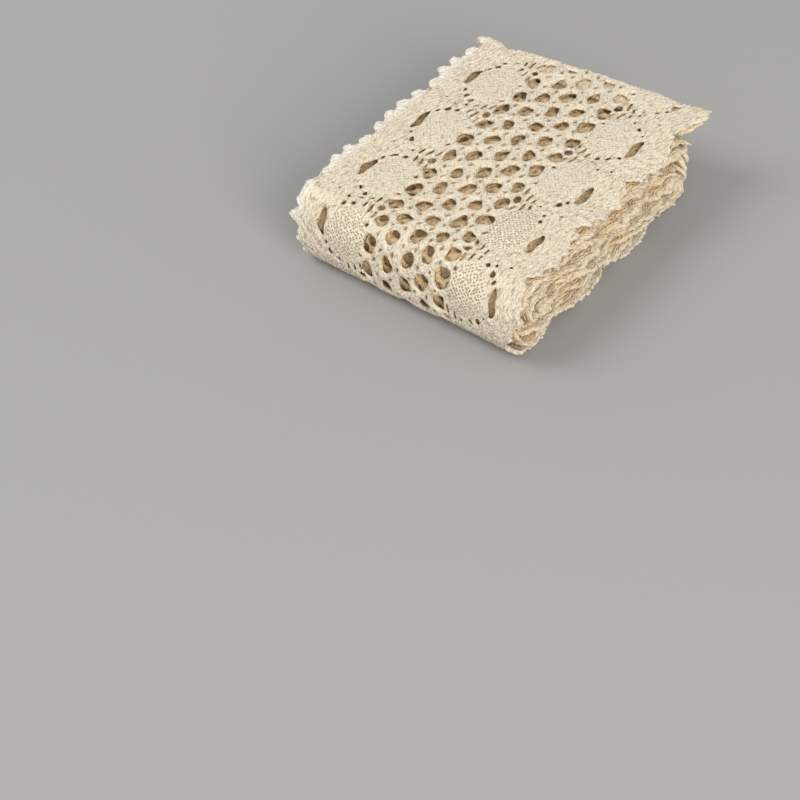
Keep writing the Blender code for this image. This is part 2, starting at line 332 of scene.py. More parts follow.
def turn_under(s, v, offset):
    """Lay what lies past the fold line back under the top layer."""
    past = s - fold_line(v)
    bend = math.pi * FOLD_RADIUS
    angle = np.clip(past / bend, 0, 1) * math.pi
    straight = np.minimum(past, 0) - np.maximum(past - bend, 0)
    along = fold_line(v) + straight + (FOLD_RADIUS + offset) * np.sin(angle)
    return along, (FOLD_RADIUS + offset) * np.cos(angle) - FOLD_RADIUS


def wound(s, v, offset):
    """Places in the roll, in metres, of points of the flat lace."""
    s, offset = turn_under(s, v, offset)
    length = s + TOP_ORIGIN
    y, z = on_path(length)
    y_before, z_before = on_path(length - PATH_PROBE)
    y_after, z_after = on_path(length + PATH_PROBE)
    along = np.hypot(y_after - y_before, z_after - z_before)
    normal_y, normal_z = -(z_after - z_before) / along, (y_after - y_before) / along
    height = (z + MID_HEIGHT) / THICKNESS
    edge = edge_share(v)
    raised = smooth((height - FLUTTER_FROM) / FLUTTER_RISE)
    flutter = FLUTTER * np.sin(TAU * length / FLUTTER_LENGTH) * edge * raised
    slow = SLOW_DRIFT * np.sin(TAU * length / SLOW_DRIFT_LENGTH + SLOW_DRIFT_PHASE)
    quick = QUICK_DRIFT * np.sin(TAU * length / QUICK_DRIFT_LENGTH + QUICK_DRIFT_PHASE)
    x = v + (slow + quick) * smooth((TOP_ORIGIN + DRIFT_FADE - length) / (2 * DRIFT_FADE))
    y = y + normal_y * (offset + flutter)
    z = z + normal_z * (offset + flutter) + MID_HEIGHT
    x, y, z = settle(x, y, z)
    x, z = crumple(x, y, z, edge)
    y, z = lift_corners(s, v, y, z)
    z = np.maximum(z, RESTING_HEIGHT)
    return np.stack([(x - ROLL_CENTRE_X) * MM, (y - ROLL_CENTRE_Y) * MM, z * MM], axis=-1)


def edge_share(v):
    """0 in the middle of the lace and 1 at its edges."""
    return smooth((np.abs(v) - DROOP_START) / (TIP_HALF_WIDTH - DROOP_START))


def settle(x, y, z):
    """Lean, sag, droop and flare of the whole roll, nothing at the surface it lies on."""
    height = np.clip(z / THICKNESS, 0.0, 1.0)
    edge = edge_share(x)
    front = smooth((BACK_TURN_Y - y) / (BACK_TURN_Y - FRONT_TURN_Y))
    y = y + NOSE_SKEW * x * front
    along = np.sin(TAU * y / TOP_WAVE_ALONG + TOP_WAVE_PHASE_ALONG)
    across = np.cos(TAU * x / TOP_WAVE_ACROSS + TOP_WAVE_PHASE_ACROSS)
    z = z + TOP_WAVE * along * across * height
    droop = np.where(x > 0, RIGHT_DROOP, LEFT_DROOP)
    swing = 1 + SWING * np.cos(TAU * y / REPEAT)
    z = z - droop * swing * edge * height ** DROOP_POWER
    flare = np.where(x < 0, smooth((NOSE_FLARE_Y - y) / NOSE_FLARE_LENGTH) * edge * height, 0)
    return x - NOSE_FLARE * flare, y, z + NOSE_LIFT * flare


def crumple(x, y, z, edge):
    """The layers' edges bunch and spread, all together so that none cross."""
    middle = np.clip(4 * (z / THICKNESS) * (1 - z / THICKNESS), 0, 1) * edge
    wander = BUNCH_WANDER * np.sin(TAU * y / BUNCH_WANDER_LENGTH + BUNCH_WANDER_PHASE)
    place = TAU * y / BUNCH_LENGTH + wander + np.where(x > 0, 0.0, LEFT_SIDE_PHASE)
    z = z + BUNCHING * middle * np.sin(TAU * z / BUNCH_HEIGHT + place)
    spread = np.sin(TAU * z / SPREAD_HEIGHT - SPREAD_LEAN * place)
    ripple = np.sin(TAU * y / RIPPLE_LENGTH + TAU * z / RIPPLE_HEIGHT)
    x = x + np.sign(x) * SPREADING * middle * spread
    x = x + np.sign(x) * RIPPLE * middle * ripple
    return x, z


def corner_share(s, v, start, size):
    """0 before a corner of the loose end and 1 at its tip."""
    return smooth((s - start[0]) / size[0]) * smooth((v - start[1]) / size[1])


def lift_corners(s, v, y, z):
    """The loose end's left corner curls up a little and its right one stands out."""
    left = corner_share(s, -v, LEFT_CURL_START, LEFT_CURL_SIZE)
    right = corner_share(s, v, RIGHT_CORNER_START, RIGHT_CORNER_SIZE)
    y = y + RIGHT_CORNER_REACH * right - LEFT_CURL_BACK * left
    return y, z + RIGHT_CORNER_LIFT * right + LEFT_CURL * left


def chance(a, b, salt):
    """A number from 0 to 1 that is fixed for each hole."""
    mixed = np.sin(a * 127.1 + b * 311.7 + salt * 74.7) * 43758.5453
    return mixed - np.floor(mixed)


def varied(a, b, salt):
    """A number from -0.5 to 0.5 that is fixed for each hole."""
    return chance(a, b, salt) - 0.5


def ellipse(ds, dv, half_s, half_v, turn=0.0):
    """Distance outside a rounded hole, less than 0 in it."""
    cosine, sine = math.cos(turn), math.sin(turn)
    a = np.abs(ds * cosine + dv * sine) / half_s
    b = np.abs(dv * cosine - ds * sine) / half_v
    reach = np.sqrt(a ** 2 + b ** 2 + 1e-12)
    spread = np.hypot(ds, dv) + 1e-9
    return spread * (1 - 1 / np.maximum(reach, CLOSE))


# Small holes around each medallion: along, across, half length, half width, turn, closing
RIM_HOLES = (
    (5.1, 22.2, 0.70, 0.42, 0.15, 0.7),
    (6.9, 20.6, 0.95, 0.60, 0.35, 0.7),
    (8.2, 18.4, 0.75, 0.55, 0.2, 0.7),
    (7.4, 12.4, 1.50, 0.40, -0.12, 0.4),
    (8.7, 14.2, 1.60, 0.38, -0.05, 0.4),
    (9.3, 15.9, 1.10, 0.32, 0.0, 0.4),
    (3.7, 12.2, 0.50, 0.50, 0.0, 0.4),
)
RIM_CLOSED = 0.9
# Small holes between two medallions: along from the midpoint, across, half length, half width
VALLEY_HOLES = (
    (0.0, 12.0, 1.30, 0.95),
    (0.6, 18.0, 0.50, 0.40),
    (-1.2, 20.4, 0.55, 0.38),
    (0.3, 23.6, 0.50, 0.32),
)
VALLEY_CLOSING = 0.5
VALLEY_CLOSED = 0.6
# Added to a medallion's number to tell its halves and the lace's sides apart
HALF_NUMBER = 40
SIDE_NUMBER = 400


def net_holes(s, v):
    """Distance from the net's holes, and the small pits where its strands meet."""
    best = np.full(s.shape, FAR_AWAY)
    pits = np.zeros(s.shape)
    for first_column, first_row in ((0, 0.0), (1, 0.5)):
        column = 2 * np.round((v / NET_COLUMN - first_column) / 2) + first_column
        column = np.where(np.abs(column) > 2, np.sign(column) * (2 - first_column), column)
        row = np.round(s / ROW - first_row) + first_row
        apex = (np.abs(column) == 2) & (np.abs(row / 3 - np.round(row / 3)) < 0.01)
        centre = column * NET_COLUMN
        ds = s - row * ROW - NET_SHIFT_ALONG * varied(row, column, 1)
        dv = v - centre * np.where(apex, APEX_PULL, 1.0) - NET_SHIFT_ACROSS * varied(row, column, 2)
        half_v = NET_HALF_ACROSS + NET_VARIES_ACROSS * varied(row, column, 3)
        half_v = half_v * np.where(apex, APEX_ACROSS, 1.0)
        half_s = NET_HALF_ALONG + NET_VARIES_ALONG * varied(row, column, 4)
        half_s = half_s * np.where(apex, APEX_ALONG, 1.0)
        around = np.arctan2(dv / half_v, ds / half_s)
        corners = NET_THREE_CORNERS * np.cos(3 * around + TAU * chance(row, column, 7))
        corners = corners + NET_FOUR_CORNERS * np.cos(4 * around + TAU * chance(row, column, 8))
        a = (np.abs(ds) / half_s) ** NET_POWER
        b = (np.abs(dv) / half_v) ** NET_POWER
        reach = (a + b + 1e-12) ** (1 / NET_POWER) / (1 + corners)
        away = np.hypot(ds, dv) * (1 - 1 / np.maximum(reach, CLOSE))
        best = np.minimum(best, away)
        across = np.abs(v - centre) - 2 / 3 * NET_COLUMN
        along = s - row * ROW - PIT_SHIFT * varied(row, column, 9)
        size = PIT_LEAST_SIZE + PIT_VARIES * chance(row, column, 10)
        lean = PIT_LEAN * varied(row, column, 13) * np.sign(v - centre)
        pit_s = (along + lean * across) / (PIT_HALF_ALONG * size)
        pit_v = (across - lean * along) / (PIT_HALF_ACROSS * size)
        pits = np.maximum(pits, smooth(PIT_EDGE * (1 - np.hypot(pit_s, pit_v))))
    return best, pits


def small_holes(s, v, t, h):
    """Distance from the small holes around the medallions and between them."""
    best = np.full(s.shape, FAR_AWAY)
    c = np.abs(v)
    medallion = np.round(s / REPEAT) + HALF_NUMBER * np.sign(t) + SIDE_NUMBER * np.sign(v)
    for index, (along, across, half_s, half_v, turn, closing) in enumerate(RIM_HOLES):
        closed = RIM_CLOSED * np.maximum(closing - chance(medallion, index, 11), 0)
        hole = ellipse(np.abs(t) - along, c - across, half_s, half_v, -turn)
        best = np.minimum(best, hole + closed)
    valley = np.floor(s / REPEAT) + SIDE_NUMBER * np.sign(v)
    for index, (along, across, half_s, half_v) in enumerate(VALLEY_HOLES):
        closed = VALLEY_CLOSED * np.maximum(VALLEY_CLOSING - chance(valley, index, 12), 0)
        hole = ellipse(h - along, c - across, half_s, half_v)
        best = np.minimum(best, hole + closed)
    return best


def edge_distance(s, v, picots):
    """Distance in from the edge with its picots, and the place across the band."""
    t = (s + REPEAT / 2) % REPEAT - REPEAT / 2
    c = np.abs(v)
    depth = np.where(v > 0, RIGHT_VALLEY_DEPTH, VALLEY_DEPTH)
    base = CREST_HALF_WIDTH - depth * np.abs(2 * t / REPEAT) ** VALLEY_POWER
    drift = 2 * np.sin(TAU * s / EDGE_WAVE_DRIFT_LENGTH)
    base = base + EDGE_WAVE * np.sin(TAU * s / EDGE_WAVE_LENGTH + drift)
    radius = picots * np.where(v > 0, RIGHT_PICOT_RADIUS, PICOT_RADIUS)
    calm = smooth((NOSE_PICOT_START - s) / NOSE_PICOT_FADE)
    radius = radius * (1 - NOSE_PICOT_CALM * calm)
    inside = base - c
    tooth = REPEAT / PICOTS_TO_REPEAT
    index = np.floor(s / tooth)
    side = np.sign(v)
    dt = s - (index + 0.5) * tooth - PICOT_SHIFT_ALONG * varied(index, side, 5)
    out = c - base - PICOT_SHIFT_ACROSS * varied(index, side, 6)
    picot = radius - np.hypot(dt / PICOT_WIDTH, out)
    return np.maximum(inside, picot), inside


def slit_distance(t, c):
    """Distance outside the leaf shaped slit that is bowed around a medallion."""
    u = np.clip(t / SLIT_HALF_LENGTH, -1, 1)
    middle = SLIT_ACROSS - SLIT_BOW * u * u
    half = SLIT_HALF_WIDTH * (1 - u * u) ** SLIT_POWER
    across = np.abs(c - middle) - half
    past = np.maximum(np.abs(t) - SLIT_HALF_LENGTH, 0)
    return np.hypot(past, np.maximum(across, 0)) + np.minimum(across, 0)


def waved(value, waves, s, v):
    """A value with plain waves over the flat lace added to it."""
    for size, along, across, phase in waves:
        value = value + size * np.sin(along * s + across * v + phase)
    return value


def lace(s, v, net=True):
    """Distance in from holes and edges, relief, painted shade of pits and grooves, weave and band
    of the flat lace.
    """
    s = s - NOSE_SHIFT * smooth((NOSE_SHIFT_START - s) / NOSE_SHIFT_LENGTH)
    s = s + waved(0.0, WARP_ALONG, s, v)
    v = waved(v, WARP_ACROSS, s, v)
    t = (s + REPEAT / 2) % REPEAT - REPEAT / 2
    h = s % REPEAT - REPEAT / 2
    c = np.abs(v)
    edge, band = edge_distance(s, v, 1.0 if net else INNER_PICOTS)
    away = np.minimum(edge, slit_distance(t, c))
    pits = np.zeros(s.shape)
    if net:
        holes, pits = net_holes(s, v)
        away = np.minimum(away, holes)
        away = np.minimum(away, small_holes(s, v, t, h))
    (along_1, across_1), (along_2, across_2) = ROUGH_EDGE_WAVES
    rough = np.sin(along_1 * s + across_1 * v) * ROUGH_EDGE
    away = away + rough * np.sin(across_2 * v + along_2 * s)
    medal = 1 - np.hypot(t / MEDAL_HALF_ALONG, (c - MEDAL_ACROSS) / MEDAL_HALF_ACROSS)
    in_medal = smooth(medal / MEDAL_RIM + MEDAL_RIM_START)
    in_net = smooth((NET_EDGE - c) / NET_EDGE_FADE) * (1 - in_medal)
    in_band = (1 - in_net) * (1 - in_medal)
    # Medallions are domed and the strands of the net are rounded
    dome = DOME * np.clip(medal, 0, 1) ** DOME_POWER * in_medal
    strand = STRAND * smooth(away / STRAND_WIDTH) * in_net
    # The band is gathered along the edge, with twisted yarns and soft puckers
    wander = sum(size * np.sin(TAU * s / length + lean * v) for size, length, lean in WANDER)
    gathers = GATHERS * np.cos(TAU * band / GATHER_SPACING + wander) * in_band
    swing = np.sin(TAU * s / TWIST_LEAN_LENGTH + 2 * np.sign(v))
    lean = TWIST_LEAN + TWIST_LEAN_SWING * swing
    twist = TWIST * np.cos(TAU * (s + lean * band) / TWIST_SPACING + 2 * wander) * in_band
    pucker_along = np.sin(TAU * s / PUCKER_LENGTH + PUCKER_LEANS[0] * v)
    pucker_across = np.sin(TAU * band / PUCKER_WIDTH + PUCKER_LEANS[1] * s)
    puckers = PUCKERS * pucker_along * pucker_across * in_band
    relief = dome + strand + gathers + twist + puckers - PIT_DEPTH * pits * in_net
    # Painted shade in the sunk pits where strands meet and in the band's low grooves
    grooves = smooth(-GROOVE_GAIN * (gathers + twist) - GROOVE_START)
    pits = np.maximum(pits * in_net, grooves * GROOVE_DARKNESS)
    reached = np.where(v > 0, WEAVE_START_RIGHT - s, WEAVE_START_LEFT - s)
    open_weave = WEAVE_LEAST + WEAVE_GROWTH * smooth(reached / WEAVE_GROWTH_LENGTH)
    return away, relief, pits, open_weave * in_medal + BAND_WEAVE * in_band, in_band


# Corners and crossings of a cell are numbered 0 to 3 and 4 to 7, anticlockwise
CELL_CASES = {
    1: ((0, 4, 7),),
    2: ((4, 1, 5),),
    3: ((0, 1, 5), (0, 5, 7)),
    4: ((5, 2, 6),),
    5: ((0, 4, 7), (5, 2, 6)),
    6: ((4, 1, 2), (4, 2, 6)),
    7: ((0, 1, 2), (0, 2, 6), (0, 6, 7)),
    8: ((7, 6, 3),),
    9: ((0, 4, 6), (0, 6, 3)),
    10: ((4, 1, 5), (7, 6, 3)),
    11: ((0, 1, 5), (0, 5, 6), (0, 6, 3)),
    12: ((7, 5, 2), (7, 2, 3)),
    13: ((0, 4, 5), (0, 5, 2), (0, 2, 3)),
    14: ((4, 1, 2), (4, 2, 3), (4, 3, 7)),
    15: ((0, 1, 2), (0, 2, 3)),
}


def crossing(first, second):
    """Share of the way from first to second where the value passes 0."""
    return np.clip(first / np.where(first == second, 1, first - second), 0, 1)


def cut_sheet(s_places, v_places, away):
    """Triangles of the part of a grid where away is over 0, with exact edges."""
    ni, nj = away.shape
    inside = away > 0
    node = np.arange(ni * nj).reshape(ni, nj)
    along_id = ni * nj + np.arange((ni - 1) * nj).reshape(ni - 1, nj)
    across_id = along_id.size + ni * nj + np.arange(ni * (nj - 1)).reshape(ni, nj - 1)
    s, v = np.meshgrid(s_places, v_places, indexing="ij")
    part = crossing(away[:-1], away[1:])
    along_points = np.stack([s[:-1] + (s[1:] - s[:-1]) * part, v[:-1]], -1)
    part = crossing(away[:, :-1], away[:, 1:])
    across_points = np.stack([s[:, :-1], v[:, :-1] + (v[:, 1:] - v[:, :-1]) * part], -1)
    grids = (np.stack([s, v], -1), along_points, across_points)
    points = np.concatenate([grid.reshape(-1, 2) for grid in grids])
    corner = [inside[:-1, :-1], inside[1:, :-1], inside[1:, 1:], inside[:-1, 1:]]
    case = sum(c.astype(int) << k for k, c in enumerate(corner))
    ids = [
        node[:-1, :-1],
        node[1:, :-1],
        node[1:, 1:],
        node[:-1, 1:],
        along_id[:, :-1],
        across_id[1:],
        along_id[:, 1:],
        across_id[:-1],
    ]
    triangles = []
    for number, faces in CELL_CASES.items():
        chosen = case == number
        for face in faces:
            triangles.append(np.stack([ids[k][chosen] for k in face], -1))
    return points, np.concatenate(triangles), np.arange(len(points)) < ni * nj


def end_cut(s, v):
    """Distance in from the loose end's cut, which is hidden under the fold."""
    flap = np.maximum(fold_line(v) - FLAP_BACK_Y, FLAP_LEAST)
    fray = sum(size * np.sin(turns * v + phase) for size, turns, phase in FLAP_FRAYS)
    return fold_line(v) + math.pi * FOLD_RADIUS + flap + fray - s


def whole_cloth(s, v):
    """Distance in from the edges of the whole cloth where the end turns under."""
    fold = s - fold_line(v) - math.pi * FOLD_RADIUS / 2
    return np.minimum(HEM + np.minimum(fold, 0), CREST_HALF_WIDTH - HEM_INSET - np.abs(v))


def from_grid(grid, used, is_node):
    """A grid's values at the used points, and 0 on the cut edges."""
    values = np.zeros(len(used))
    values[is_node] = grid.ravel()[used[is_node]]
    return values


def painted_shade_in_roll(points, s_start, shade, fade):
    """Painted warm shade on the cloth: deep between the layers, less at their edges, and on the
    flap of the loose end.
    """
    s, v = points.T
    edge = smooth((np.abs(v) - EDGE_LIGHT_START) / EDGE_LIGHT_WIDTH)
    hidden = shade * (1 - EDGE_LIGHT * edge)
    hidden = hidden * (1 - smooth((s - s_start) / fade))
    on_flap = smooth((s - fold_line(v) - FLAP_SHADE_START) / FLAP_SHADE_RISE)
    return np.maximum(hidden, FLAP_SHADE * on_flap)


def strip_piece(name, s_start, s_end, s_step, v_places, net=True, shade=0.0, fade=NO_FADE):
    """One stretch of the strip as a closed mesh with rounded strands."""
    count = max(2, int(round((s_end - s_start) / s_step)) + 1)
    step = (s_end - s_start) / (count - 1)
    # One row more at each end, so that the shading runs on into the next piece
    s_places = s_start + step * np.arange(-1, count + 1)
    s, v = np.meshgrid(s_places, v_places, indexing="ij")
    away, relief, pits, weave, band = lace(s, v, net)
    away = np.minimum(np.maximum(away, whole_cloth(s, v)), end_cut(s, v))
    away = np.minimum(away, s - SECTION_STARTS[0])
    least = LEAST_EDGE * s_step
    away = np.where(np.abs(away) < least, np.where(away < 0, -least, least), away)
    points, triangles, is_node = cut_sheet(s_places, v_places, away)
    used = np.unique(triangles)
    place = np.full(len(points), -1)
    place[used] = np.arange(len(used))
    points, triangles, is_node = points[used], place[triangles], is_node[used]
    rim = ~is_node
    grids = (away, relief, pits, weave, band)
    depth, lift, painted_hollow_shade, woven, banded = (from_grid(grid, used, is_node) for grid in grids)
    # Painted shade on the rims of holes, none near the lace's edges
    painted_hollow_shade[rim] = np.where(np.abs(points[rim, 1]) > PALE_START, 0.0, RIM_DARKNESS)
    round_off = np.sqrt(1 - (1 - np.clip(depth / ROUNDING, 0, 1)) ** 2)
    half = np.full(len(used), CLOTH_HALF)
    if not net:
        half = half + EDGE_SWELL * smooth((np.abs(points[:, 1]) - SWELL_START) / SWELL_WIDTH)
    top = round_off * (half + lift)
    bottom = -round_off * (half + UNDER_RELIEF * np.minimum(lift, UNDER_RELIEF_MOST))
    # The under side repeats the inner points and shares the rim
    under = np.where(rim, np.arange(len(used)), -1)
    under[is_node] = len(used) + np.arange(is_node.sum())
    flat = np.concatenate([points, points[is_node]])
    offset = np.concatenate([top, bottom[is_node]])
    places = wound(flat[:, 0], flat[:, 1], offset)
    faces = np.concatenate([triangles, under[triangles][:, ::-1]])
    normals = point_normals(places, faces)
    inside = (flat[:, 0] > s_start - CLOSE) & (flat[:, 0] < s_end + CLOSE)
    triangles = triangles[inside[triangles].all(axis=1)]
    walls = end_walls(points, triangles, under, s_start, s_end)
    faces = np.concatenate([triangles, under[triangles][:, ::-1], walls])
    kept, faces = np.unique(faces, return_inverse=True)
    # Attributes: painted shade in hollows, depth, weave, band, painted warm shade deep in the roll,
    # and painted light on the left edge
    fields = {
        "painted_hollow_shade": painted_hollow_shade,
        "depth": depth,
        "weave": woven,
        "band": banded,
        "hidden": painted_shade_in_roll(points, s_start, shade, fade),
        "painted_light": smooth((-PALE_START - points[:, 1]) / PALE_WIDTH),
    }
    for label, field in fields.items():
        fields[label] = np.concatenate([field, field[is_node]])[kept]
    faces = faces.reshape(-1, 3)
    make_piece(name, places[kept], normals[kept], faces, flat[kept], fields)


def point_normals(places, faces):
    """Mean direction of the faces around each point."""
    corners = places[faces]
    facing = np.cross(corners[:, 1] - corners[:, 0], corners[:, 2] - corners[:, 0])
    normals = np.zeros(places.shape)
    for corner in range(3):
        for axis in range(3):
            normals[:, axis] += np.bincount(faces[:, corner], facing[:, axis], len(places))
    return normals / np.maximum(np.linalg.norm(normals, axis=1, keepdims=True), TINY)


def end_walls(points, triangles, under, s_start, s_end):
    """Faces that close a piece where it meets the next one."""
    walls = []
    edges = np.concatenate([triangles[:, [0, 1]], triangles[:, [1, 2]], triangles[:, [2, 0]]])
    for s_line in (s_start, s_end):
        on_line = np.abs(points[edges, 0] - s_line).max(axis=1) < CLOSE
        for a, b in edges[on_line]:
            if under[a] != a:
                walls.append((b, a, under[a]))
            if under[b] != b:
                walls.append((b, under[a], under[b]))
    return np.array(walls, dtype=int).reshape(-1, 3)


def make_piece(name, places, normals, faces, flat, fields):
    """A sheet from its points, in the roll and flat, and its faces."""
    mesh = bpy.data.meshes.new(name)
    mesh.vertices.add(len(places))
    mesh.vertices.foreach_set("co", places.astype(np.float32).ravel())
    mesh.loops.add(len(faces) * 3)
    mesh.loops.foreach_set("vertex_index", faces.astype(np.int32).ravel())
    mesh.polygons.add(len(faces))
    mesh.polygons.foreach_set("loop_start", np.arange(0, len(faces) * 3, 3, dtype=np.int32))
    mesh.update(calc_edges=True)
    uv = mesh.uv_layers.new(name="Lace")
    uv.data.foreach_set("uv", (flat[faces.ravel()] * UV_SCALE).astype(np.float32).ravel())
    for label, values in fields.items():
        layer = mesh.attributes.new(label, "FLOAT", "POINT")
        layer.data.foreach_set("value", values.astype(np.float32))
    mesh.validate()
    mesh.normals_split_custom_set_from_vertices(normals.tolist())
    mesh.materials.append(COTTON)
    piece = bpy.data.objects.new(name, mesh)
    bpy.context.scene.collection.objects.link(piece)
    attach(piece, "root")
    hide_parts("lace_strip")


# Cotton: colours, among them those of painted light and painted shade, and how it takes light
CREAM = (0.795, 0.705, 0.553)
LIGHT_CREAM = (0.857, 0.775, 0.63)
# Painted light on the left edge's picots
PAINTED_LIGHT_CREAM = (0.93, 0.87, 0.755)
# Painted warm shade deep in the roll and on the turned-under flap
PAINTED_SHADE_TAN = (0.93, 0.67, 0.36)
# Painted shade in hollows, on rims of holes, between threads, in pinholes and in grooves
PAINTED_SHADE_BROWN = (0.33, 0.225, 0.115)
COTTON_SHADER = {
    "Roughness": 0.9,
    "Specular IOR Level": 0.2,
    "Sheen Weight": 0.12,
    "Sheen Roughness": 0.6,
}

# Its patches, yarns, threads and pinholes, with painted shade between threads, in pinholes and in
# grooves
PATCH_SCALE = 9.0
YARN_SCALE = 190.0
YARN_ROUGHNESS = 0.7
STRAY_SCALE = 70.0
THREAD_SCALE = 58.0
THREAD_STRETCH = (1.0, 0.3, 1.0)
THREAD_ANGLES = (36, -42)
BAND_THREAD_ANGLE = 8
THREAD_PICK = (0.46, 0.54)
THREAD_SHADOW = (0.49, 0.30)
THREAD_DARKNESS = 0.66
PALE_CALM = 0.6
WEAVE_SCALE = 128.0
WEAVE_RANDOMNESS = 0.5
WEAVE_ANGLE = 38
PINHOLE_EDGE = (0.39, 0.14)
PINHOLE_DARKNESS = 0.86
RIDGE_SPACING = 0.62
RIDGE_WANDER = 16.0
RIDGE_LOSS = 0.8
RIDGE_DARKNESS = 0.16

# Height of the fine relief
YARN_HEIGHT = 0.3
THREAD_HEIGHT = 2.6
RIDGE_DEPTH = 0.4
BUMP_STRENGTH = 0.7
BUMP_DISTANCE = 0.0003


def add_node(tree, kind, x, y, **settings):
    """A node at a place on the tree's sheet."""
    node = tree.nodes.new(kind)
    node.location = (x, y)
    for key, value in settings.items():
        setattr(node, key, value)
    return node


def linked(tree, node, socket, source):
    """Feed a node's input from an output."""
    tree.links.new(source, node.inputs[socket])


def maths(tree, operation, x, y, first, second):
    """A maths node whose second input is a node's output or a number."""
    node = add_node(tree, "ShaderNodeMath", x, y, operation=operation)
    linked(tree, node, 0, first)
    if isinstance(second, (int, float)):
        node.inputs[1].default_value = second
    else:
        linked(tree, node, 1, second)
    return node.outputs["Value"]


def lessened(tree, x, y, source, loss):
    """1 less a share of the source."""
    lost = maths(tree, "MULTIPLY", x - 200, y, source, -loss)
    return maths(tree, "SUBTRACT", x, y, lost, -1.0)


def noise(tree, x, y, vector, scale, detail, roughness=0.5, dimensions="3D"):
    """Soft noise over a texture's coordinates."""
    node = add_node(tree, "ShaderNodeTexNoise", x, y, noise_dimensions=dimensions)
    node.inputs["Scale"].default_value = scale
    node.inputs["Detail"].default_value = detail
    node.inputs["Roughness"].default_value = roughness
    linked(tree, node, "Vector", vector)
    return node.outputs["Fac"]


def ranged(tree, x, y, source, limits, top=1.0):
    """A number that goes from 0 to top as the source goes between two limits."""
    node = add_node(tree, "ShaderNodeMapRange", x, y)
    node.inputs["From Min"].default_value = limits[0]
    node.inputs["From Max"].default_value = limits[1]
    node.inputs["To Max"].default_value = top
    linked(tree, node, "Value", source)
    return node.outputs["Result"]


def blended(tree, x, y, share, first, second):
    """A number that goes from first to second as share goes from 0 to 1."""
    node = add_node(tree, "ShaderNodeMix", x, y, data_type="FLOAT")
    linked(tree, node, 0, share)
    linked(tree, node, 2, first)
    linked(tree, node, 3, second)
    return node.outputs[0]


def coloured(tree, x, y, share, first, second):
    """A colour that goes from first to second, which is fixed, as share goes from 0 to 1."""
    node = add_node(tree, "ShaderNodeMix", x, y, data_type="RGBA")
    if isinstance(first, tuple):
        node.inputs[6].default_value = (*first, 1)
    else:
        linked(tree, node, 6, first)
    node.inputs[7].default_value = (*second, 1)
    linked(tree, node, 0, share)
    return node.outputs[2]


def threads(tree, uv, angle, y):
    """Short threads laid side by side, at an angle to the strip."""
    turned = add_node(tree, "ShaderNodeMapping", -2100, y, vector_type="TEXTURE")
    turned.inputs["Rotation"].default_value = (0, 0, math.radians(angle))
    turned.inputs["Scale"].default_value = THREAD_STRETCH
    linked(tree, turned, "Vector", uv)
    return noise(tree, -1900, y, turned.outputs["Vector"], THREAD_SCALE, 2.0, dimensions="2D")


def pinholes_of_weave(tree, uv, weave):
    """Pinholes between the yarns, where the weave is open."""
    turned = add_node(tree, "ShaderNodeMapping", -1900, -700)
    turned.inputs["Rotation"].default_value = (0, 0, math.radians(WEAVE_ANGLE))
    linked(tree, turned, "Vector", uv)
    cells = add_node(tree, "ShaderNodeTexVoronoi", -1700, -700, voronoi_dimensions="2D")
    cells.inputs["Scale"].default_value = WEAVE_SCALE
    cells.inputs["Randomness"].default_value = WEAVE_RANDOMNESS
    linked(tree, cells, "Vector", turned.outputs["Vector"])
    pinhole = ranged(tree, -1500, -700, cells.outputs["Distance"], PINHOLE_EDGE)
    return maths(tree, "MULTIPLY", -1300, -600, pinhole, weave)


def grooves_of_strands(tree, depth, weave, stray):
    """Ridges and grooves that follow the edges of holes, less where the weave is open."""
    phase = maths(tree, "MULTIPLY", -1800, 200, depth, TAU / RIDGE_SPACING)
    wander = maths(tree, "MULTIPLY", -1900, 300, stray, RIDGE_WANDER)
    phase = maths(tree, "ADD", -1700, 200, phase, wander)
    ridge = add_node(tree, "ShaderNodeMath", -1500, 200, operation="COSINE")
    linked(tree, ridge, 0, phase)
    loose = lessened(tree, -1500, 0, weave, RIDGE_LOSS)
    return maths(tree, "MULTIPLY", -1300, 100, ridge.outputs["Value"], loose)


